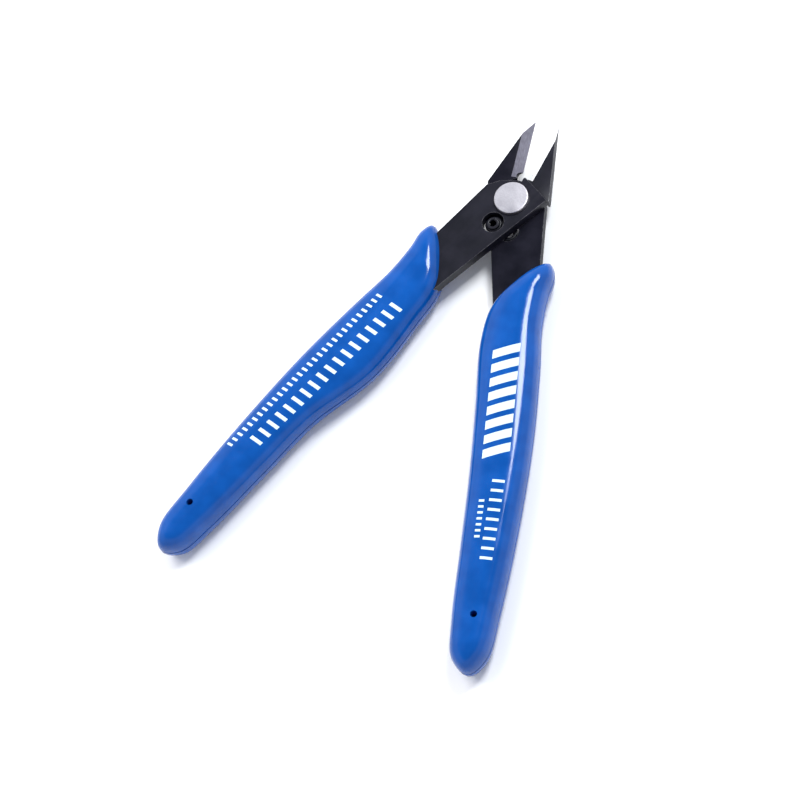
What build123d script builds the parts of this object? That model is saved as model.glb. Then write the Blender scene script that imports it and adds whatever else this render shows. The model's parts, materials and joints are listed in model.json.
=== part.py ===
from build123d import *
import os
from math import cos, radians, sin

# Flush cutter: two riveted steel levers with moulded grips, lying open with its underside on z = 0.
#
# Each half is drawn closed: the pivot axis is Z through the origin, the line where the cutting edges
# meet is +Y, and z = 0 is the plane where the plates slide on each other. The lower half has its jaw
# on -X and its handle towards +X. The upper half is the same drawing turned over about Y.
# Tang frame: the same pivot, turned so that the handle runs down -Y with its outer side on +X.

# Whole tool
jaw_length = 21.9             # pivot to jaw tip
open_angle = 14.9             # travel of one half against the other
lower_tang_angle = 10.2       # right handle from the closed cutting line
upper_tang_angle = 20.0       # left handle from the closed cutting line

# Plates
plate_thickness = 2.4
slide_gap = 0.04              # between sliding faces
front_radius = 4.85           # round front edge of the plate about the pivot
crease_distance = 5.6         # pivot to the step where the jaw is set over
crease_normal = 114.9         # direction of that step, from +X
stop_gap = 0.05               # left at the opening stop
stop_relief = 14.0            # how far round the stop face starts before the crease line's foot
front_start = 74.0            # where the front radius takes over from the stop face

# Jaw, in the closed frame
jaw_root = (-7.0, 4.6)
jaw_back = (-1.9, 17.2)
closed_gap = 0.04             # between the two cutting edges
bevel_width = 1.8
bevel_start = 6.3
edge_land = 0.2
notch_center = (0.45, 7.2)
notch_radius = 1.45
root_round = 1.0

# Tang, in the tang frame
tang_inner_front = (-6.13, 5.6)
tang_inner_mouth = (-3.64, -24.4)
tang_outer_front = (7.2, 0.0)
tang_outer_mouth = (6.4, -25.0)
tang_inside_grip = [(4.6, -36.0), (3.6, -60.0), (0.3, -90.0), (-3.9, -90.0), (-2.6, -60.0), (-3.3, -34.0)]
tang_end_round = 1.6
shoulder_round = 1.2

# Rivet and its collar
shank_radius = 2.5
pivot_clearance = 0.04
head_radius = 3.9
head_height = 0.9
head_round = 0.2
tail_radius = 1.6
tail_clearance = 0.02
peened_radius = 2.3
peened_height = 0.45

# Return spring, in the hole behind the rivet
spring_hole_radius = 2.5
spring_hole_center = (-1.07, -6.75)
wire_diameter = 0.6
wire_pitch = 0.64
knuckle_radius = 0.34         # ball where the coil turns down into its leg
wire_gap = 0.05               # spring to the walls and faces round it
spring_leg_depth = 1.2        # the leg's height below the sliding faces

# Grips, in the tang frame. The section lists height as a share of half the thickness, and how far the
# outline is drawn in there as a share of half the width.
grip_half_height = 4.75
grip_section = [(0.0, 0.0), (0.55, 0.05), (0.85, 0.15), (0.97, 0.28), (1.0, 0.42)]
grip_spine = [(3.6, -24.5), (1.2, -40.0), (0.6, -60.0), (-1.7, -84.0), (-4.1, -104.0)]
grip_outer_edge = [(10.1, -18.7), (8.8, -23.9), (7.8, -31.0), (7.8, -41.0), (7.1, -58.0), (5.0, -77.3), (1.9, -96.6)]
grip_tip = [(-0.6, -107.2), (-4.5, -110.5), (-7.9, -107.4)]
grip_inner_edge = [(-8.4, -99.0), (-7.4, -82.0), (-6.5, -67.0), (-5.8, -50.0), (-5.7, -34.5)]
grip_mouth = [(-3.7, -26.5), (1.4, -20.6), (6.4, -16.9), (9.3, -16.1)]
belly_height = -50.0          # the inner-edge point that the belly swells
left_grip_belly = 2.5
right_grip_belly = 0.2
tang_fit = 0.05               # pocket to tang, each side
cord_hole_radius = 0.75
cord_hole_center = (-2.8, -98.7)


def turned(point, angle):
    """A point turned about the pivot."""
    x, y = point
    c, s = cos(radians(angle)), sin(radians(angle))
    return (x * c - y * s, x * s + y * c)


def polar(radius, angle):
    return turned((radius, 0), angle)


def crossing(a, b, c, d):
    """Where the line a-b crosses the line c-d."""
    ux, uy = b[0] - a[0], b[1] - a[1]
    vx, vy = d[0] - c[0], d[1] - c[1]
    k = ((c[0] - a[0]) * vy - (c[1] - a[1]) * vx) / (ux * vy - uy * vx)
    return (a[0] + k * ux, a[1] + k * uy)


def slab(outline, low, high):
    """A plan outline as a solid between two heights."""
    return extrude(Pos(0, 0, low) * outline, high - low, dir=(0, 0, 1))


def nearest(shape, point):
    return shape.vertices().sort_by_distance((point[0], point[1], 0))[0]


# ---- levers

stop_distance = crease_distance - stop_gap
stop_normal = 180 - crease_normal - open_angle


def tang_points(angle):
    """The tang's outline in the closed frame, from the outer edge round to the inner edge."""
    return [turned(p, angle) for p in [tang_outer_mouth] + tang_inside_grip + [tang_inner_mouth]]


def plate_outline(angle):
    """The plan of one plate, before its jaw is set over and ground."""
    inner_front, inner_mouth = turned(tang_inner_front, angle), turned(tang_inner_mouth, angle)
    outer_front, outer_mouth = turned(tang_outer_front, angle), turned(tang_outer_mouth, angle)
    corner = crossing(jaw_back, jaw_root, inner_mouth, inner_front)
    stop_foot = polar(stop_distance, stop_normal)
    along_stop = polar(1, stop_normal - 90)
    stop_far = (stop_foot[0] + along_stop[0], stop_foot[1] + along_stop[1])
    shoulder = crossing(outer_mouth, outer_front, stop_foot, stop_far)
    stop_start = polar(stop_distance / cos(radians(stop_relief)), stop_normal - stop_relief)
    tip, root = (-closed_gap / 2, jaw_length), (-closed_gap / 2, 0)
    front = polar(front_radius, front_start)
    tang = tang_points(angle)
    plate = make_face(
        Polyline(tip, jaw_back, corner, *reversed(tang), shoulder, stop_start, front, (0, 0), root, close=True)
    )
    plate = fillet(nearest(plate, corner), root_round)
    plate = fillet(nearest(plate, shoulder), shoulder_round)
    tang_end = [nearest(plate, turned(p, angle)) for p in tang_inside_grip[2:4]]
    plate = fillet(tang_end, tang_end_round)
    return plate + Circle(front_radius) - Pos(*notch_center) * Circle(notch_radius)


def beyond_crease():
    """The part of the plan that is set over: everything past the crease line."""
    reach = 2 * jaw_length
    return Rot(0, 0, crease_normal) * Pos(crease_distance + reach / 2, 0) * Rectangle(reach, reach)


def lever(angle, grind_side):
    """One half's plate, closed, with its bevel ground on the side of +Z or -Z."""
    outline = plate_outline(angle)
    low, high = -plate_thickness - slide_gap / 2, -slide_gap / 2
    body = slab(outline - beyond_crease(), low, high)
    holes = Circle(shank_radius + pivot_clearance)
    holes += Pos(*turned(spring_hole_center, angle)) * Circle(spring_hole_radius)
    body -= slab(holes, low, high)
    jaw = slab(outline & beyond_crease(), -plate_thickness / 2, plate_thickness / 2)
    edge = -plate_thickness / 2 + edge_land
    face = plate_thickness / 2
    above = face + 1
    ground = Polyline(
        (-closed_gap / 2, edge), (-bevel_width, face), (-bevel_width, above), (2, above), (2, edge), close=True
    )
    wedge = make_face(ground) if grind_side > 0 else make_face(mirror(ground, Plane.XZ))
    cut = Pos(0, bevel_start, 0) * Rot(90, 0, 0) * wedge
    jaw -= extrude(cut, jaw_length, dir=(0, 1, 0))
    return body + jaw


# ---- grips

def spine_point(y):
    """The middle of a grip at a given distance down it."""
    y = min(max(y, grip_spine[-1][1]), grip_spine[0][1])
    for (x0, y0), (x1, y1) in zip(grip_spine, grip_spine[1:]):
        if y >= y1:
            return (x0 + (x1 - x0) * (y - y0) / (y1 - y0), y)


def grip_outline(belly, inset):
    """A grip's plan in the tang frame, drawn in towards its spine by a share of its half-width."""
    inner = [(x - belly if y == belly_height else x, y) for x, y in grip_inner_edge]
    points = []
    for x, y in grip_outer_edge + grip_tip + inner + grip_mouth:
        middle_x, middle_y = spine_point(y)
        points.append((x + (middle_x - x) * inset, y + (middle_y - y) * inset))
    return Spline(*points, periodic=True)


def grip(angle, belly):
    """The sleeve on one tang: widest at its parting plane, with rounded shoulders and flat faces above and below."""
    below = [(-height, inset) for height, inset in grip_section[:0:-1]]
    levels = []
    for height, inset in below + grip_section:
        levels.append(Pos(0, 0, height * grip_half_height) * make_face(grip_outline(belly, inset)))
    sleeve = loft(levels)
    tang = make_face(Polyline(tang_outer_front, *tang_points(0), tang_inner_front, close=True))
    low, high = -plate_thickness - slide_gap / 2, -slide_gap / 2
    sleeve -= slab(offset(tang, tang_fit, kind=Kind.INTERSECTION), low - tang_fit, high + tang_fit)
    sleeve -= Pos(*cord_hole_center) * Cylinder(cord_hole_radius, 4 * grip_half_height)
    return Rot(0, 0, angle) * sleeve


# ---- rivet, collar and spring

stack_top = plate_thickness + slide_gap / 2
head_seat = stack_top + slide_gap
collar_seat = -stack_top


def pivot_rivet():
    """A flat round head on the upper plate, a shank through both, and a tail peened over the collar."""
    head = Pos(0, 0, head_seat) * Cylinder(head_radius, head_height, align=(Align.CENTER, Align.CENTER, Align.MIN))
    head = fillet(head.edges().sort_by(Axis.Z)[-1], head_round)
    shank = slab(Circle(shank_radius), collar_seat, head_seat)
    tail = slab(Circle(tail_radius), collar_seat - head_height, collar_seat)
    button = slab(Circle(peened_radius), collar_seat - head_height - peened_height, collar_seat - head_height)
    button = fillet(button.edges().sort_by(Axis.Z)[0], peened_height * 0.8)
    return head + shank + tail + button


def rivet_washer():
    ring = slab(Circle(head_radius) - Circle(tail_radius + tail_clearance), collar_seat - head_height, collar_seat)
    return fillet(ring.edges().filter_by(GeomType.CIRCLE).group_by(Axis.Z)[0].sort_by(SortBy.RADIUS)[-1], head_round)


def return_spring(upper_hole, lower_hole):
    """A coil in the upper plate's hole, with a leg down and across to the far wall of the lower plate's."""
    coil_radius = spring_hole_radius - wire_gap - wire_diameter / 2
    coil_low = slide_gap / 2 + wire_gap + wire_diameter / 2
    rise = plate_thickness - 2 * wire_gap - wire_diameter
    to_lower = lower_hole - upper_hole
    direction = degrees_of(to_lower)
    path = Helix(wire_pitch, rise, coil_radius)
    coil = sweep(Plane(path @ 0, z_dir=path % 0) * Circle(wire_diameter / 2), path, is_frenet=True)
    coil = Pos(upper_hole.X, upper_hole.Y, coil_low) * Rot(0, 0, direction) * coil
    start = upper_hole + to_lower.normalized() * coil_radius
    far = lower_hole + to_lower.normalized() * (spring_hole_radius - wire_gap)
    knuckle = Pos(start.X, start.Y, coil_low) * Sphere(knuckle_radius)
    drop = Pos(start.X, start.Y, 0) * slab(Circle(wire_diameter / 2), -spring_leg_depth, coil_low)
    bend = Pos(start.X, start.Y, -spring_leg_depth) * Sphere(wire_diameter / 2)
    reach = Plane((start.X, start.Y, -spring_leg_depth), z_dir=(to_lower.X, to_lower.Y, 0))
    leg = extrude(reach * Circle(wire_diameter / 2), (far - start).length)
    return drop + bend + leg + knuckle + coil


def degrees_of(direction):
    return Vector(1, 0, 0).get_signed_angle(direction, Vector(0, 0, 1))


# ---- the tool, open at rest

handle_spread = lower_tang_angle + upper_tang_angle + open_angle
lower_turn = Rot(0, 0, handle_spread / 2 - lower_tang_angle)
upper_turn = Rot(0, 0, upper_tang_angle - handle_spread / 2) * Rot(0, 180, 0)


def hole_at_rest(turn, angle):
    place = turn * Pos(*turned(spring_hole_center, angle))
    return Vector(place.position.X, place.position.Y, 0)


parts = {
    "lower_lever": lower_turn * lever(lower_tang_angle, 1),
    "right_grip": lower_turn * grip(lower_tang_angle, right_grip_belly),
    "upper_lever": upper_turn * lever(upper_tang_angle, -1),
    "left_grip": upper_turn * grip(upper_tang_angle, left_grip_belly),
    "pivot_rivet": pivot_rivet(),
    "rivet_washer": rivet_washer(),
    "return_spring": return_spring(
        hole_at_rest(upper_turn, upper_tang_angle), hole_at_rest(lower_turn, lower_tang_angle)
    ),
}

# The origin goes to the middle of the footprint, on the surface that the tool lies on.
box = Compound(list(parts.values())).bounding_box()
to_origin = Pos(-box.center().X, -box.center().Y, -box.min.Z)
os.makedirs("parts", exist_ok=True)
for name, shape in parts.items():
    export_step(to_origin * shape, f"parts/{name}.step")
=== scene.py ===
import json
import math
import bmesh
import bpy
from mathutils import Matrix, Vector

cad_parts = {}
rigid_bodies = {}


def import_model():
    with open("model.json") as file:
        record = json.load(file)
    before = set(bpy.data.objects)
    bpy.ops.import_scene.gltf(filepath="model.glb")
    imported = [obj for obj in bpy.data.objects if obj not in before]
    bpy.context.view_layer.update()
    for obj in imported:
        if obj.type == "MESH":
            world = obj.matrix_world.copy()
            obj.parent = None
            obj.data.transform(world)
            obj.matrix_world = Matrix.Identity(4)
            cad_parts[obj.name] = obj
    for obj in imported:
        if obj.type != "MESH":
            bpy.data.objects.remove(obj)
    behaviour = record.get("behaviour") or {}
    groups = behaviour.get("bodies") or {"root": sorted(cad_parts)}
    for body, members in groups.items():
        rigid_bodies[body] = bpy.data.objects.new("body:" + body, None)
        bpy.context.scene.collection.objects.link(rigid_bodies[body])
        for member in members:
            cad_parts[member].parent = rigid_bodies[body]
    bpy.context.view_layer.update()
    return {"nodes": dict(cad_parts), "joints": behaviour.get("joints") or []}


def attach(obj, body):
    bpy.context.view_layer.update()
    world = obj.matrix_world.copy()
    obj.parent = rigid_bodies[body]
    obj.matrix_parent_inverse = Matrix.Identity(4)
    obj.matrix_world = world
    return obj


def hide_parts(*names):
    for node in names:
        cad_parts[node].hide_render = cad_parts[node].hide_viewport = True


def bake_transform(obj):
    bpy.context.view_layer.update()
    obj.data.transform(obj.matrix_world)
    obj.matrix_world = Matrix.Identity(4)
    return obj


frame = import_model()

mm = 0.001

# where things are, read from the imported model
joint = frame["joints"][0]
pivot = Vector(joint["pos_m"])
upperBody, lowerBody = joint["child"], joint["parent"]


cameraSet = {
    "tilt": 28.0,          # degrees away from straight down
    "lean": -59.0,         # which way it leans, degrees round the view from its right
    "turn": 23.37,         # how far the tool lies turned in the view
    "distance": 574 * mm,  # to the rivet
    "aside": 25.62 * mm,   # from the view's middle to the rivet, rightwards
    "above": 44.01 * mm,   # and upwards
    "fieldOfView": 17.81,  # degrees
    "nearest": 10 * mm,    # what is closer isn't drawn
}


def viewDirection(degrees):
    # a direction along the floor, counted round the view from its right side
    angle = math.radians(degrees + cameraSet["turn"])
    return Vector((math.cos(angle), math.sin(angle), 0))


def makeCamera():
    tilt, lean = math.radians(cameraSet["tilt"]), math.radians(cameraSet["lean"])
    outward = viewDirection(cameraSet["lean"])
    sideways = viewDirection(cameraSet["lean"] + 90)
    back = outward * math.sin(tilt) + Vector((0, 0, math.cos(tilt)))
    falling = outward * math.cos(tilt) - Vector((0, 0, math.sin(tilt)))
    right = falling * math.cos(lean) - sideways * math.sin(lean)
    up = falling * math.sin(lean) + sideways * math.cos(lean)
    middle = pivot - right * cameraSet["aside"] - up * cameraSet["above"]
    data = bpy.data.cameras.new("camera")
    data.angle = math.radians(cameraSet["fieldOfView"])
    data.clip_start = cameraSet["nearest"]
    camera = bpy.data.objects.new("camera", data)
    turned = Matrix((right, up, back)).transposed().to_4x4()
    camera.matrix_world = Matrix.Translation(middle + back * cameraSet["distance"]) @ turned
    bpy.context.scene.collection.objects.link(camera)
    bpy.context.scene.camera = camera


def newNode(tree, kind, **values):
    # values are the node's own settings or its inputs
    node = tree.nodes.new(kind)
    for key, value in values.items():
        if hasattr(node, key):
            setattr(node, key, value)
        else:
            node.inputs[key].default_value = value
    return node


def mathNode(tree, operation, first, second=None, clamp=False):
    # first and second are sockets or numbers
    node = tree.nodes.new("ShaderNodeMath")
    node.operation = operation
    node.use_clamp = clamp
    for index, value in enumerate((first, second)):
        if value is None:
            continue
        if isinstance(value, bpy.types.NodeSocket):
            tree.links.new(value, node.inputs[index])
        else:
            node.inputs[index].default_value = value
    return node.outputs[0]


def newGroup(name, inputs, outputs):
    group = bpy.data.node_groups.new(name, "ShaderNodeTree")
    for label, kind, value in inputs:
        kindName = "NodeSocket" + kind
        socket = group.interface.new_socket(name=label, in_out="INPUT", socket_type=kindName)
        if value is not None:
            socket.default_value = value
    for label, kind in outputs:
        group.interface.new_socket(name=label, in_out="OUTPUT", socket_type="NodeSocket" + kind)
    return group, group.nodes.new("NodeGroupInput"), group.nodes.new("NodeGroupOutput")


def useGroup(tree, group, **values):
    node = tree.nodes.new("ShaderNodeGroup")
    node.node_tree = group
    for key, value in values.items():
        node.inputs[key].default_value = value
    return node


def makeEdgeWear():
    # a mask along sharp edges, where a rounded normal leaves the flat one, broken up by noise
    group, start, end = newGroup(
        "edgeWear",
        [("Width", "Float", 0.0003), ("Break", "Float", 900.0), ("Amount", "Float", 1.0)],
        [("Mask", "Float")],
    )
    rounded = group.nodes.new("ShaderNodeBevel")
    rounded.samples = 6
    group.links.new(start.outputs["Width"], rounded.inputs["Radius"])
    flat = group.nodes.new("ShaderNodeNewGeometry")
    dot = group.nodes.new("ShaderNodeVectorMath")
    dot.operation = "DOT_PRODUCT"
    group.links.new(rounded.outputs["Normal"], dot.inputs[0])
    group.links.new(flat.outputs["Normal"], dot.inputs[1])
    away = mathNode(group, "SUBTRACT", 1.0, dot.outputs["Value"], clamp=True)
    edge = mathNode(group, "MULTIPLY", away, 6.0, clamp=True)
    where = group.nodes.new("ShaderNodeTexCoord")
    patches = newNode(group, "ShaderNodeTexNoise", Detail=5.0, Roughness=0.65)
    group.links.new(where.outputs["Object"], patches.inputs["Vector"])
    group.links.new(start.outputs["Break"], patches.inputs["Scale"])
    gate = mathNode(group, "MULTIPLY_ADD", patches.outputs["Fac"], 3.2, clamp=True)
    gate.node.inputs[2].default_value = -1.0
    broken = mathNode(group, "MULTIPLY", edge, gate)
    worn = mathNode(group, "MULTIPLY", broken, start.outputs["Amount"], clamp=True)
    group.links.new(worn, end.inputs["Mask"])
    return group


def makeGrain():
    # fine lines left by rolling or grinding, along one direction in the plate
    group, start, end = newGroup(
        "metalGrain",
        [("Direction", "Float", 0.0), ("Scale", "Float", 2500.0), ("Stretch", "Float", 0.03)],
        [("Lines", "Float"), ("Clouds", "Float")],
    )
    where = group.nodes.new("ShaderNodeTexCoord")
    spin = newNode(group, "ShaderNodeVectorRotate", rotation_type="Z_AXIS")
    group.links.new(where.outputs["Object"], spin.inputs["Vector"])
    group.links.new(start.outputs["Direction"], spin.inputs["Angle"])
    squeeze = group.nodes.new("ShaderNodeCombineXYZ")
    group.links.new(start.outputs["Stretch"], squeeze.inputs["X"])
    squeeze.inputs["Y"].default_value = 1.0
    squeeze.inputs["Z"].default_value = 1.0
    stretched = group.nodes.new("ShaderNodeVectorMath")
    stretched.operation = "MULTIPLY"
    group.links.new(spin.outputs["Vector"], stretched.inputs[0])
    group.links.new(squeeze.outputs["Vector"], stretched.inputs[1])
    lines = newNode(group, "ShaderNodeTexNoise", Detail=4.0, Roughness=0.6)
    group.links.new(stretched.outputs["Vector"], lines.inputs["Vector"])
    group.links.new(start.outputs["Scale"], lines.inputs["Scale"])
    clouds = newNode(group, "ShaderNodeTexNoise", Scale=220.0, Detail=5.0, Roughness=0.55)
    group.links.new(where.outputs["Object"], clouds.inputs["Vector"])
    group.links.new(lines.outputs["Fac"], end.inputs["Lines"])
    group.links.new(clouds.outputs["Fac"], end.inputs["Clouds"])
    return group


def makeMouldSkin():
    # the faint waviness and pores of a moulded plastic skin
    group, start, end = newGroup(
        "mouldSkin",
        [("Ripple", "Float", 260.0), ("Pores", "Float", 3800.0)],
        [("Height", "Float"), ("Variation", "Float")],
    )
    where = group.nodes.new("ShaderNodeTexCoord")
    ripple = newNode(group, "ShaderNodeTexNoise", Detail=2.0, Roughness=0.4)
    group.links.new(where.outputs["Object"], ripple.inputs["Vector"])
    group.links.new(start.outputs["Ripple"], ripple.inputs["Scale"])
    pores = newNode(group, "ShaderNodeTexNoise", Detail=3.0, Roughness=0.7)
    group.links.new(where.outputs["Object"], pores.inputs["Vector"])
    group.links.new(start.outputs["Pores"], pores.inputs["Scale"])
    both = mathNode(group, "MULTIPLY_ADD", pores.outputs["Fac"], 0.12)
    group.links.new(ripple.outputs["Fac"], both.node.inputs[2])
    group.links.new(both, end.inputs["Height"])
    group.links.new(ripple.outputs["Fac"], end.inputs["Variation"])
    return group


def makeStripePrint():
    # one row of plain slanted bars; Place is its middle and Turn brings its run onto X
    group, start, end = newGroup(
        "stripePrint",
        [
            ("Place", "Vector", None), ("Turn", "Float", 0.0), ("Length", "Float", 0.02),
            ("Height", "Float", 0.003), ("Pitch", "Float", 0.002), ("Fill", "Float", 0.6),
            ("Slant", "Float", 0.3),
        ],
        [("Mask", "Float")],
    )
    where = group.nodes.new("ShaderNodeTexCoord")
    shift = group.nodes.new("ShaderNodeVectorMath")
    shift.operation = "SUBTRACT"
    group.links.new(where.outputs["Object"], shift.inputs[0])
    group.links.new(start.outputs["Place"], shift.inputs[1])
    spin = newNode(group, "ShaderNodeVectorRotate", rotation_type="Z_AXIS")
    group.links.new(shift.outputs["Vector"], spin.inputs["Vector"])
    group.links.new(start.outputs["Turn"], spin.inputs["Angle"])
    split = group.nodes.new("ShaderNodeSeparateXYZ")
    group.links.new(spin.outputs["Vector"], split.inputs["Vector"])
    along, across, high = split.outputs["X"], split.outputs["Y"], split.outputs["Z"]
    slanted = mathNode(group, "MULTIPLY_ADD", across, start.outputs["Slant"])
    group.links.new(along, slanted.node.inputs[2])
    halfLength = mathNode(group, "MULTIPLY", start.outputs["Length"], 0.5)
    halfHeight = mathNode(group, "MULTIPLY", start.outputs["Height"], 0.5)
    inLength = mathNode(group, "LESS_THAN", mathNode(group, "ABSOLUTE", slanted), halfLength)
    inHeight = mathNode(group, "LESS_THAN", mathNode(group, "ABSOLUTE", across), halfHeight)
    counted = mathNode(group, "DIVIDE", mathNode(group, "ADD", slanted, halfLength), start.outputs["Pitch"])
    bar = mathNode(group, "LESS_THAN", mathNode(group, "FRACT", counted), start.outputs["Fill"])
    onTop = mathNode(group, "GREATER_THAN", high, 0.0)
    inRow = mathNode(group, "MULTIPLY", inLength, inHeight)
    onBar = mathNode(group, "MULTIPLY", bar, onTop)
    group.links.new(mathNode(group, "MULTIPLY", inRow, onBar), end.inputs["Mask"])
    return group


edgeWear = makeEdgeWear()
metalGrain = makeGrain()
mouldSkin = makeMouldSkin()
stripePrint = makeStripePrint()
print("shared effects made")


def newMaterial(name):
    material = bpy.data.materials.new(name)
    material.use_nodes = True
    tree = material.node_tree
    tree.nodes.clear()
    shader = tree.nodes.new("ShaderNodeBsdfPrincipled")
    output = tree.nodes.new("ShaderNodeOutputMaterial")
    tree.links.new(shader.outputs["BSDF"], output.inputs["Surface"])
    return material, tree, shader


def ramp(tree, source, stops):
    node = tree.nodes.new("ShaderNodeValToRGB")
    bar = node.color_ramp
    while len(bar.elements) < len(stops):
        bar.elements.new(0.5)
    for element, (place, colour) in zip(bar.elements, stops):
        element.position = place
        element.color = (*colour, 1)
    tree.links.new(source, node.inputs["Fac"])
    return node.outputs["Color"]


def mixColour(tree, mask, under, over):
    # mask and under are sockets, over is a colour; 6 and 7 are the Mix node's two colours
    node = tree.nodes.new("ShaderNodeMix")
    node.data_type = "RGBA"
    tree.links.new(mask, node.inputs[0])
    tree.links.new(under, node.inputs[6])
    node.inputs[7].default_value = (*over, 1)
    return node.outputs[2]


def mapRange(tree, source, low, high):
    # most of a noise lies between 0.3 and 0.7
    node = tree.nodes.new("ShaderNodeMapRange")
    tree.links.new(source, node.inputs["Value"])
    node.inputs["From Min"].default_value = 0.3
    node.inputs["From Max"].default_value = 0.7
    node.inputs["To Min"].default_value = low
    node.inputs["To Max"].default_value = high
    return node.outputs["Result"]


def bumpFrom(tree, height, strength, distance, shader):
    node = newNode(tree, "ShaderNodeBump", Strength=strength, Distance=distance)
    tree.links.new(height, node.inputs["Height"])
    tree.links.new(node.outputs["Normal"], shader.inputs["Normal"])


oxideFinish = {
    "dark": (0.004, 0.0042, 0.008),
    "light": (0.009, 0.0088, 0.015),
    "bare": (0.42, 0.41, 0.44),      # steel showing on worn edges
    "roughLow": 0.3,
    "roughHigh": 0.46,
    "wear": 0.55,
    "wearWidth": 0.16 * mm,
    "lineDepth": 0.01 * mm,
    "gloss": {"upperSteel": 0.22, "lowerSteel": 0.06, "springSteel": 0.3},
}


def blackOxide(name, direction):
    # direction is how far the rolling lines are turned, in radians
    material, tree, shader = newMaterial(name)
    grain = useGroup(tree, metalGrain, Direction=direction, Scale=2600.0, Stretch=0.04)
    wear = useGroup(tree, edgeWear, Width=oxideFinish["wearWidth"], Break=1300.0, Amount=oxideFinish["wear"])
    stops = [(0.35, oxideFinish["dark"]), (0.65, oxideFinish["light"])]
    base = ramp(tree, grain.outputs["Clouds"], stops)
    colour = mixColour(tree, wear.outputs["Mask"], base, oxideFinish["bare"])
    tree.links.new(colour, shader.inputs["Base Color"])
    rough = mapRange(tree, grain.outputs["Lines"], oxideFinish["roughLow"], oxideFinish["roughHigh"])
    tree.links.new(rough, shader.inputs["Roughness"])
    tree.links.new(wear.outputs["Mask"], shader.inputs["Metallic"])
    bumpFrom(tree, grain.outputs["Lines"], 0.25, oxideFinish["lineDepth"], shader)
    shader.inputs["Specular IOR Level"].default_value = oxideFinish["gloss"][name]
    return material


steelFinish = {
    # the left jaw's ground bevel, the right jaw's, and the rivet with its washer; the two bevels are one
    # ground steel, painted as a shaded and a lit copy
    # painted dim reflection: a grey, half-metallic base colour stands in for the sheen of the left jaw's
    # ground bevel
    "paintedDimBevel": {
        "direction": 1.2, "dark": (0.12, 0.116, 0.15), "light": (0.21, 0.204, 0.25),
        "roughLow": 0.34, "roughHigh": 0.5, "stretch": 0.3, "metallic": 0.5,
    },
    # painted bright reflection: a near-white, barely metallic base colour stands in for the lights mirrored
    # in the right jaw's ground bevel
    "paintedBrightBevel": {
        "direction": 1.2, "dark": (0.84, 0.84, 0.88), "light": (0.95, 0.95, 0.97),
        "roughLow": 0.4, "roughHigh": 0.55, "stretch": 0.3, "metallic": 0.1,
    },
    "rivetSteel": {
        "direction": 0.3, "dark": (0.66, 0.63, 0.66), "light": (0.78, 0.75, 0.78),
        "roughLow": 0.34, "roughHigh": 0.44, "stretch": 0.6, "metallic": 1.0,
    },
}
grindDepth = 0.008 * mm


def brightSteel(name):
    finish = steelFinish[name]
    material, tree, shader = newMaterial(name)
    grain = useGroup(tree, metalGrain, Direction=finish["direction"], Scale=3000.0, Stretch=finish["stretch"])
    base = ramp(tree, grain.outputs["Lines"], [(0.3, finish["dark"]), (0.7, finish["light"])])
    tree.links.new(base, shader.inputs["Base Color"])
    rough = mapRange(tree, grain.outputs["Clouds"], finish["roughLow"], finish["roughHigh"])
    tree.links.new(rough, shader.inputs["Roughness"])
    shader.inputs["Metallic"].default_value = finish["metallic"]
    bumpFrom(tree, grain.outputs["Lines"], 0.3, grindDepth, shader)
    return material


plasticFinish = {
    "deep": (0.001, 0.056, 0.265),
    "clear": (0.002, 0.072, 0.33),
    "print": (0.58, 0.74, 0.72),
    "roughLow": 0.09,
    "roughHigh": 0.15,
    "gloss": 0.32,
    "skinDepth": 0.08 * mm,
}


def bluePlastic(name, rows):
    material, tree, shader = newMaterial(name)
    skin = useGroup(tree, mouldSkin)
    stops = [(0.3, plasticFinish["deep"]), (0.7, plasticFinish["clear"])]
    base = ramp(tree, skin.outputs["Variation"], stops)
    for row in rows:
        stripes = useGroup(tree, stripePrint, **row)
        base = mixColour(tree, stripes.outputs["Mask"], base, plasticFinish["print"])
    tree.links.new(base, shader.inputs["Base Color"])
    rough = mapRange(tree, skin.outputs["Variation"], plasticFinish["roughLow"], plasticFinish["roughHigh"])
    tree.links.new(rough, shader.inputs["Roughness"])
    bumpFrom(tree, skin.outputs["Height"], 0.12, plasticFinish["skinDepth"], shader)
    shader.inputs["Specular IOR Level"].default_value = plasticFinish["gloss"]
    return material


# angles in degrees: "from" round the view, "height" above the floor; sizes and distances in metres
lightSet = {
    "key": {
        "from": 150.0, "height": 52.0, "far": 1.0, "size": 0.8, "power": 9.0,
        "colour": (1.0, 0.985, 0.96), "mirrored": False,   # only fills, so the grips show one streak each
    },
    "side": {
        "from": 49.0, "height": 56.0, "far": 0.6, "size": 0.18, "power": 3.0,
        "colour": (0.95, 0.98, 1.0), "mirrored": True,
    },
    "skyTop": (0.20, 0.22, 0.28),      # overhead, where flat faces mirror it
    "skyRound": (0.93, 0.95, 1.0),     # lower down, all round
    "skyStrength": 1.0,
    "floor": (0.93, 0.93, 0.93),
    "floorReach": 1.5,
}


def makeLight(name, settings):
    # a square softbox aimed at the middle of the tool
    data = bpy.data.lights.new(name, "AREA")
    data.shape = "RECTANGLE"
    data.size = settings["size"]
    data.size_y = settings["size"]
    data.energy = settings["power"]
    data.color = settings["colour"]
    lamp = bpy.data.objects.new(name, data)
    height = math.radians(settings["height"])
    outward = viewDirection(settings["from"]) * math.cos(height) + Vector((0, 0, math.sin(height)))
    lamp.location = outward * settings["far"]
    lamp.rotation_euler = outward.to_track_quat("Z", "Y").to_euler()
    lamp.visible_glossy = settings["mirrored"]
    bpy.context.scene.collection.objects.link(lamp)


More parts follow.
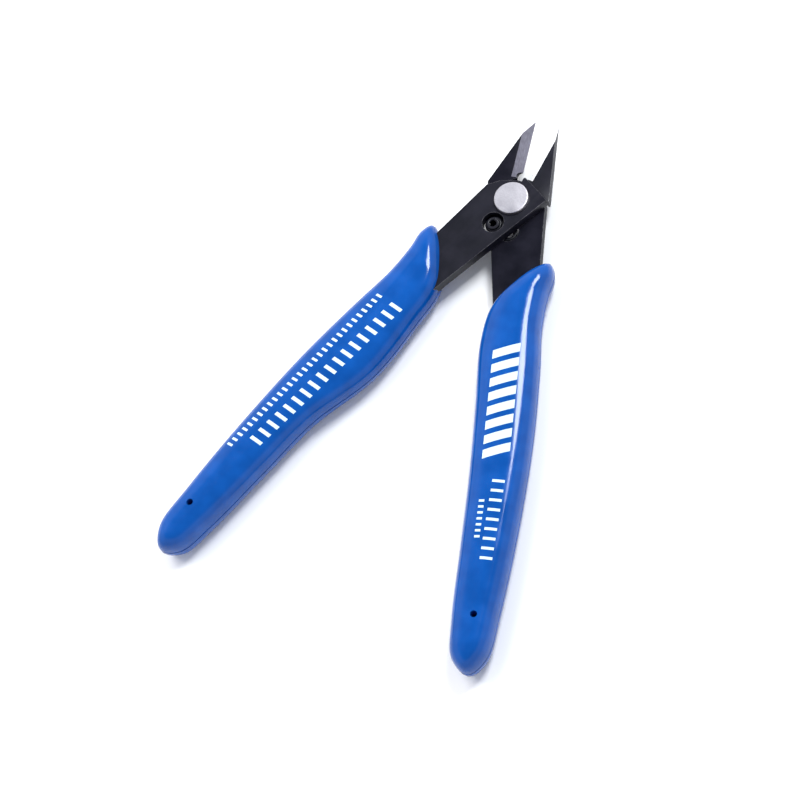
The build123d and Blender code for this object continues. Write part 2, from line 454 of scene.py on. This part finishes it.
def makeSky():
    world = bpy.data.worlds.new("studio")
    world.use_nodes = True
    tree = world.node_tree
    background = tree.nodes["Background"]
    background.inputs["Strength"].default_value = lightSet["skyStrength"]
    where = tree.nodes.new("ShaderNodeTexCoord")
    split = tree.nodes.new("ShaderNodeSeparateXYZ")
    tree.links.new(where.outputs["Generated"], split.inputs["Vector"])
    sky = ramp(tree, split.outputs["Z"], [(0.62, lightSet["skyRound"]), (0.82, lightSet["skyTop"])])
    tree.links.new(sky, background.inputs["Color"])
    bpy.context.scene.world = world


def makeFloor():
    mesh = bpy.data.meshes.new("floor")
    reach = lightSet["floorReach"]
    corners = [(-reach, -reach, 0), (reach, -reach, 0), (reach, reach, 0), (-reach, reach, 0)]
    mesh.from_pydata(corners, [], [(0, 1, 2, 3)])
    floor = bpy.data.objects.new("floor", mesh)
    bpy.context.scene.collection.objects.link(floor)
    material, tree, shader = newMaterial("paleFloor")
    shader.inputs["Base Color"].default_value = (*lightSet["floor"], 1)
    shader.inputs["Roughness"].default_value = 0.9
    shader.inputs["Specular IOR Level"].default_value = 0.1
    mesh.materials.append(material)


def makeStage():
    makeLight("keySoftbox", lightSet["key"])
    makeLight("sideSoftbox", lightSet["side"])
    makeSky()
    makeFloor()
    bpy.context.scene.view_settings.view_transform = "Standard"


def setMaterials(piece, materials):
    piece.data.materials.clear()
    for material in materials:
        piece.data.materials.append(material)


def newPiece(name, mesh, body, node=None):
    piece = bpy.data.objects.new(name, mesh)
    bpy.context.scene.collection.objects.link(piece)
    if body:
        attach(piece, body)
    if node:
        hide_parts(node)
    return piece


def applyModifiers(piece):
    # puts what the modifiers make in place of the piece's mesh
    depsgraph = bpy.context.evaluated_depsgraph_get()
    made = bpy.data.meshes.new_from_object(piece.evaluated_get(depsgraph))
    piece.modifiers.clear()
    piece.data = made


def smoothShade(mesh, degrees):
    for polygon in mesh.polygons:
        polygon.use_smooth = True
    mesh.set_sharp_from_angle(angle=math.radians(degrees))


plateSet = {
    "edgeBreak": 0.13 * mm,
    "cuttingBreak": 0.02 * mm,   # along the ground edge, which stays keen
    "sharpFrom": 25,             # degrees between two faces, for their edge to be broken
    "bevelTilt": (0.4, 0.9),     # how upright the ground faces stand
    "bevelArea": 1 * mm * mm,    # and how large they are at least
    "jawStart": 7.0 * mm,        # from the pivot
    "weld": 0.0005 * mm,
    "flatWithin": 0.6,           # degrees, for faces to be joined into one
}


def isGround(face):
    low, high = plateSet["bevelTilt"]
    onJaw = (face.calc_center_median() - pivot).y > plateSet["jawStart"]
    return low < abs(face.normal.z) < high and onJaw and face.calc_area() > plateSet["bevelArea"]


def makePlate(name, node, body, materials):
    # the plate's own shape with its sharp edges broken; the ground faces take the second material
    mesh = frame["nodes"][node].data.copy()
    mesh.name = name
    mesh.materials.clear()
    for material in materials:
        mesh.materials.append(material)
    work = bmesh.new()
    work.from_mesh(mesh)
    bmesh.ops.remove_doubles(work, verts=work.verts, dist=plateSet["weld"])
    flatWithin = math.radians(plateSet["flatWithin"])
    bmesh.ops.dissolve_limit(work, angle_limit=flatWithin, verts=work.verts, edges=work.edges)
    ground = [face for face in work.faces if isGround(face)]
    weights = work.edges.layers.float.new("bevel_weight_edge")
    for edge in work.edges:
        if len(edge.link_faces) == 2 and edge.calc_face_angle(0) > math.radians(plateSet["sharpFrom"]):
            keen = any(face in ground for face in edge.link_faces)
            edge[weights] = plateSet["cuttingBreak"] / plateSet["edgeBreak"] if keen else 1.0
    for face in work.faces:
        face.material_index = 1 if face in ground else 0
    work.to_mesh(mesh)
    work.free()
    piece = newPiece(name, mesh, body, node)
    bevel = piece.modifiers.new("edges", "BEVEL")
    bevel.width = plateSet["edgeBreak"]
    bevel.segments = 2
    bevel.limit_method = "WEIGHT"
    applyModifiers(piece)
    smoothShade(piece.data, plateSet["sharpFrom"])


# places are in the right handle's own frame, in millimetres from the pivot; the left one is mirrored
gripSet = {
    "handleAngle": 22.55,       # each handle from the line midway between them, degrees
    "halfHeight": 4.75 * mm,
    "roundness": 2.65,          # section: 2 is an ellipse, larger is fuller
    "levels": 11,               # rings from the parting line to the top
    "around": 220,              # points round the outline
    "fineSteps": 24,            # between two outline points, before they are evened out
    "flatTop": 0.16,            # how much of the width is left where the dome closes
    "partingWidth": 0.2 * mm,
    "partingDepth": 0.18 * mm,
    "holeRadius": 0.75 * mm,
    "holeCentre": (-2.8, -98.7),
    "drillLength": 14 * mm,
    "gateCentre": (-3.9, -110.0),
    "gateRadius": (1.05 * mm, 0.8 * mm),
    "gateLength": 1.3 * mm,
    "gateBreak": 0.12 * mm,
    "spine": [(3.6, -24.5), (1.2, -40.0), (0.6, -60.0), (-1.7, -84.0), (-4.1, -104.0)],
    "outerEdge": [
        (10.1, -18.7), (8.8, -23.9), (7.8, -31.0), (7.8, -41.0), (7.1, -58.0), (5.0, -77.3), (1.9, -96.6),
    ],
    "tip": [(-0.6, -107.2), (-4.5, -110.5), (-7.9, -107.4)],
    "innerEdge": [(-8.4, -99.0), (-7.4, -82.0), (-6.5, -67.0), (-5.8, -50.0), (-5.7, -34.5)],
    "mouth": [(-3.7, -26.5), (1.4, -20.6), (6.4, -16.9), (9.3, -16.1)],
    "bellyAt": -50.0,
    "belly": {"left": 2.5, "right": 0.2},   # how far the inner edge swells there, past the point given
}


def spinePoint(y):
    # the point that the section at y shrinks towards
    spine = gripSet["spine"]
    y = min(max(y, spine[-1][1]), spine[0][1])
    for (x0, y0), (x1, y1) in zip(spine, spine[1:]):
        if y >= y1:
            return Vector((x0 + (x1 - x0) * (y - y0) / (y1 - y0), y))


def roundOutline(points, count):
    # a smooth closed curve through the points, evenly divided
    fine = []
    total = len(points)
    steps = gripSet["fineSteps"]
    for index in range(total):
        before, here, after, later = (points[(index + step) % total] for step in (-1, 0, 1, 2))
        into, along, onward = here - before, after - here, later - after
        spanIn, span, spanOut = (math.sqrt(part.length) for part in (into, along, onward))
        leaving = (into / spanIn - (after - before) / (spanIn + span) + along / span) * span
        arriving = (along / span - (later - here) / (span + spanOut) + onward / spanOut) * span
        for step in range(steps):
            t = step / steps
            fine.append(
                here * (2 * t**3 - 3 * t**2 + 1) + leaving * (t**3 - 2 * t**2 + t)
                + after * (3 * t**2 - 2 * t**3) + arriving * (t**3 - t**2)
            )
    lengths = [0.0]
    for a, b in zip(fine, fine[1:] + fine[:1]):
        lengths.append(lengths[-1] + (b - a).length)
    even = []
    at = 0
    for index in range(count):
        wanted = lengths[-1] * index / count
        while lengths[at + 1] < wanted:
            at += 1
        share = (wanted - lengths[at]) / (lengths[at + 1] - lengths[at])
        even.append(fine[at].lerp(fine[(at + 1) % len(fine)], share))
    return even


def gripPlace(side, point, height=0.0):
    # from the handle's own frame, in millimetres, to the model's
    angle = math.radians(gripSet["handleAngle"])
    placed = Matrix.Rotation(angle, 3, "Z") @ Vector((point[0] * mm, point[1] * mm, height))
    if side == "left":
        placed.x = -placed.x
    return pivot + placed


def sectionRings():
    # from the bottom up: height, how much of the width is left there, and whether it is in the parting groove
    power = gripSet["roundness"]
    upper = []
    for step in range(1, gripSet["levels"] + 1):
        height = math.sin(math.pi / 2 * step / gripSet["levels"]) ** 0.8
        upper.append((height, max(0.0, 1 - height**power) ** (1 / power)))
    upper[-1] = (1.0, gripSet["flatTop"])
    groove = gripSet["partingWidth"] / gripSet["halfHeight"]
    rings = [(-h, w, 0) for h, w in reversed(upper)]
    rings += [(-groove, 1, 0), (-groove * 0.4, 1, 1), (groove * 0.4, 1, 1), (groove, 1, 0)]
    return rings + [(h, w, 0) for h, w in upper]


def gripOutline(side):
    swell = gripSet["belly"][side]
    inner = [(x - swell if y == gripSet["bellyAt"] else x, y) for x, y in gripSet["innerEdge"]]
    points = gripSet["outerEdge"] + gripSet["tip"] + inner + gripSet["mouth"]
    return roundOutline([Vector(point) for point in points], gripSet["around"])


def makeGrip(name, side, body, node, material):
    outline = gripOutline(side)
    work = bmesh.new()
    rings = []
    for height, width, inGroove in sectionRings():
        ring = []
        for point in outline:
            middle = spinePoint(point.y)
            reach = point - middle
            if inGroove:
                reach = reach * (1 - gripSet["partingDepth"] / mm / reach.length)
            place = gripPlace(side, middle + reach * width, height * gripSet["halfHeight"])
            ring.append(work.verts.new(place))
        rings.append(ring)
    count = gripSet["around"]
    for low, high in zip(rings, rings[1:]):
        for index in range(count):
            after = (index + 1) % count
            work.faces.new((low[index], low[after], high[after], high[index]))
    for ring in (rings[0], rings[-1]):
        edges = [work.edges.get((ring[i], ring[(i + 1) % count])) for i in range(count)]
        bmesh.ops.triangle_fill(work, edges=edges, use_beauty=True)
    bmesh.ops.recalc_face_normals(work, faces=work.faces)
    addGate(work, side)
    mesh = bpy.data.meshes.new(name)
    work.to_mesh(mesh)
    work.free()
    piece = newPiece(name, mesh, body, node)
    drill = makeDrill(side)
    cut = piece.modifiers.new("cordHole", "BOOLEAN")
    cut.operation = "DIFFERENCE"
    cut.object = drill
    applyModifiers(piece)
    bpy.data.objects.remove(drill)
    setMaterials(piece, [material])
    smoothShade(piece.data, 40)


def addGate(work, side):
    # the small snapped-off stub that the mould's gate leaves at the end
    centre = gripPlace(side, gripSet["gateCentre"])
    outward = gripPlace(side, (0, -1)) - gripPlace(side, (0, 0))
    base, top = gripSet["gateRadius"]
    made = bmesh.ops.create_cone(
        work, cap_ends=True, segments=18, radius1=base, radius2=top, depth=gripSet["gateLength"],
        matrix=Matrix.Translation(centre) @ outward.to_track_quat("Z", "X").to_matrix().to_4x4(),
    )
    rim = {
        edge for vert in made["verts"] for edge in vert.link_edges
        if len(edge.link_faces) == 2 and edge.calc_face_angle(0) > 1
    }
    rim = sorted(rim, key=lambda edge: edge.index)
    bmesh.ops.bevel(work, geom=rim, offset=gripSet["gateBreak"], segments=2, affect="EDGES")


def makeDrill(side):
    work = bmesh.new()
    radius = gripSet["holeRadius"]
    centre = gripPlace(side, gripSet["holeCentre"])
    bmesh.ops.create_cone(
        work, cap_ends=True, segments=40, radius1=radius, radius2=radius,
        depth=gripSet["drillLength"], matrix=Matrix.Translation(centre),
    )
    mesh = bpy.data.meshes.new("drill")
    work.to_mesh(mesh)
    work.free()
    drill = bpy.data.objects.new("drill", mesh)
    bpy.context.scene.collection.objects.link(drill)
    return drill


# plain bars in place of lettering: where each row runs, in the handle's frame, and its bars' number and size
printRows = {
    "right": [
        {
            "from": (1.19, -37.5), "to": (0.06, -62.9), "bars": 8,
            "Height": 6.0 * mm, "Fill": 0.6, "Slant": 0.3,
        },
        {
            "from": (1.01, -68.7), "to": (-0.86, -86.7), "bars": 9,
            "Height": 2.7 * mm, "Fill": 0.28, "Slant": 0.0,
        },
        {
            "from": (-2.45, -73.1), "to": (-3.07, -81.7), "bars": 7,
            "Height": 1.2 * mm, "Fill": 0.38, "Slant": 0.0,
        },
    ],
    "left": [
        {
            "from": (-1.48, -35.7), "to": (-2.64, -79.3), "bars": 18,
            "Height": 3.0 * mm, "Fill": 0.34, "Slant": 0.15,
        },
        {
            "from": (3.4, -36.6), "to": (1.2, -83.9), "bars": 31,
            "Height": 1.5 * mm, "Fill": 0.36, "Slant": 0.15,
        },
    ],
}


def rowsFor(side):
    rows = []
    for row in printRows[side]:
        values = dict(row)
        first, last = (gripPlace(side, values.pop(end)) for end in ("from", "to"))
        run = last - first
        values["Place"] = (first + last) / 2
        values["Turn"] = -math.atan2(run.y, run.x)
        values["Length"] = run.length
        values["Pitch"] = run.length / (values.pop("bars") - 1 + values["Fill"])   # ends on a whole bar
        rows.append(values)
    return rows


springSet = {
    "upperCentre": (-1.6 * mm, -6.644 * mm, 0),   # of the hole in the upper plate, from the pivot
    "lowerCentre": (1.6 * mm, -6.644 * mm, 0),
    "coilRadius": 2.02 * mm,
    "coilInner": 1.0 * mm,           # the coil winds inwards as it leaves the plates' sliding faces
    "wire": 0.38 * mm,
    "coilLow": 0.46 * mm,            # nearest and farthest turn from the plates' sliding faces
    "coilHigh": 1.98 * mm,
    "turns": 2.4,
    "coilSteps": 96,
    "linkSteps": 12,
    "upperStart": -60,               # where each coil's first turn leaves the link, degrees
    "lowerStart": 120,
}


def wirePiece(name, points, body, material, node=None):
    curve = bpy.data.curves.new(name, "CURVE")
    curve.dimensions = "3D"
    spline = curve.splines.new("POLY")
    spline.points.add(len(points) - 1)
    for place, point in zip(spline.points, points):
        place.co = (*point, 1)
    curve.bevel_depth = springSet["wire"]   # the wire's radius
    curve.bevel_resolution = 5
    curve.use_fill_caps = True
    helper = bpy.data.objects.new(name, curve)
    bpy.context.scene.collection.objects.link(helper)
    depsgraph = bpy.context.evaluated_depsgraph_get()
    mesh = bpy.data.meshes.new_from_object(helper.evaluated_get(depsgraph))
    bpy.data.objects.remove(helper)
    mesh.name = name
    piece = newPiece(name, mesh, body, node)
    setMaterials(piece, [material])
    smoothShade(mesh, 50)
    return piece


def between(start, end, share):
    return start + (end - start) * share


def coilPoints(centre, side, startAngle):
    # side is 1 above the plates' sliding faces and -1 below them
    middle = pivot + Vector(centre)
    steps = springSet["coilSteps"]
    points = []
    for step in range(steps + 1):
        share = step / steps
        angle = math.radians(startAngle) + share * springSet["turns"] * 2 * math.pi
        height = between(springSet["coilLow"], springSet["coilHigh"], share)
        radius = between(springSet["coilRadius"], springSet["coilInner"], share)
        outward = Vector((math.cos(angle), math.sin(angle), 0)) * radius
        points.append(middle + outward + Vector((0, 0, side * height)))
    return points


def makeSpring(material):
    # a coil riding with each plate, and a straight link between the two coils' first points, fixed where it
    # is made
    upper = coilPoints(springSet["upperCentre"], 1, springSet["upperStart"])
    lower = coilPoints(springSet["lowerCentre"], -1, springSet["lowerStart"])
    wirePiece("springUpperCoil", upper, upperBody, material, "return_spring")
    wirePiece("springLowerCoil", lower, lowerBody, material)
    start, end = upper[0], lower[0]
    steps = springSet["linkSteps"]
    link = [start.lerp(end, step / steps) for step in range(steps + 1)]
    piece = wirePiece("springLink", link, None, material)
    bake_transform(piece)


makeCamera()
makeStage()
print("camera, lights and floor made")

handle = math.radians(gripSet["handleAngle"])
upperSteel = blackOxide("upperSteel", math.radians(90) + handle)
lowerSteel = blackOxide("lowerSteel", math.radians(90) - handle)
springSteel = blackOxide("springSteel", 0.0)
paintedDimBevel, paintedBrightBevel, rivetSteel = (brightSteel(name) for name in steelFinish)
leftBlue = bluePlastic("leftBlue", rowsFor("left"))
rightBlue = bluePlastic("rightBlue", rowsFor("right"))
print("materials made")

# each plate's ground faces take a bevel steel whose base colour is painted reflection
makePlate("upperPlate", "upper_lever", upperBody, [upperSteel, paintedBrightBevel])
makePlate("lowerPlate", "lower_lever", lowerBody, [lowerSteel, paintedDimBevel])
makeGrip("leftGrip", "left", upperBody, "left_grip", leftBlue)
makeGrip("rightGrip", "right", lowerBody, "right_grip", rightBlue)
makeSpring(springSteel)
for node in ("pivot_rivet", "rivet_washer"):
    setMaterials(frame["nodes"][node], [rivetSteel])
print("pieces made")
